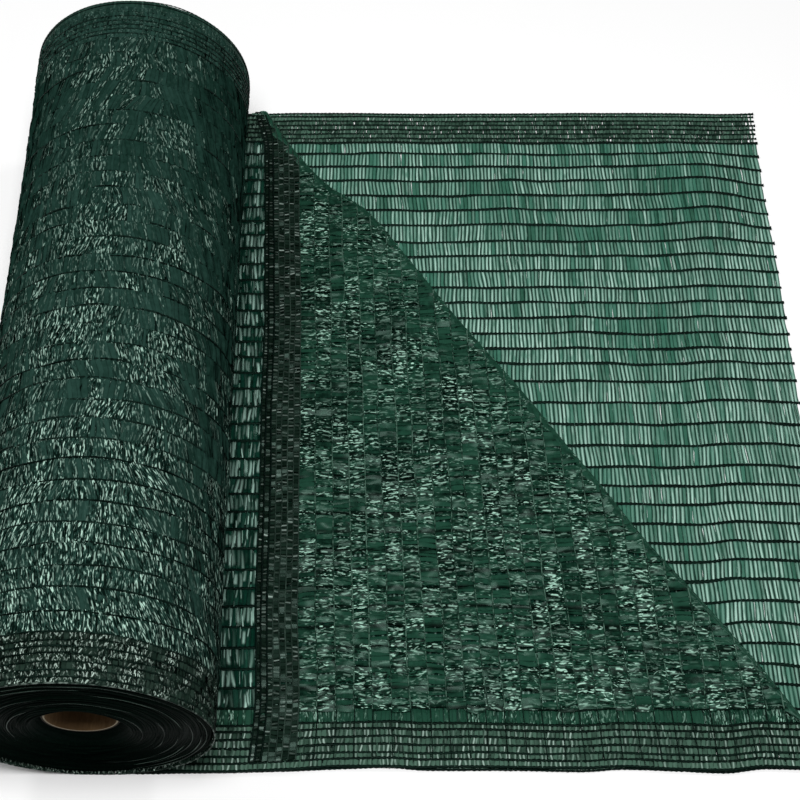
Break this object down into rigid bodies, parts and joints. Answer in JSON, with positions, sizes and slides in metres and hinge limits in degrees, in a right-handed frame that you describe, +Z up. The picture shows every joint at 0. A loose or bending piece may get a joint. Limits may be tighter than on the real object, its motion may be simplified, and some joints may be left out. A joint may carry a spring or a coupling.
{
  "type": "shade net roll, part unrolled",
  "caption": "Knitted tape shade net wound on a cardboard tube, run out flat to one side in two layers, the top layer folded back diagonally.",
  "frame": {"origin": "middle of the bounding box's footprint, on the floor", "axes": "+Z up, +Y along the roll from its near end to its far end (the roll's axis is turned 0.86 degrees from it), +X from the roll to the cut end of the net"},
  "size_m": [1.0233, 1.006, 0.2862],
  "materials": {
    "cardboard": "matt",
    "net_on_roll": "satin knitted plastic tape",
    "net_single": "satin knitted plastic tape",
    "net_folded": "satin knitted plastic tape"
  },
  "bodies": {
    "root": {"core_tube": "cardboard", "wound_roll": "net_on_roll", "lower_sheet": "net_single", "upper_sheet": "net_folded"}
  },
  "joints": []
}
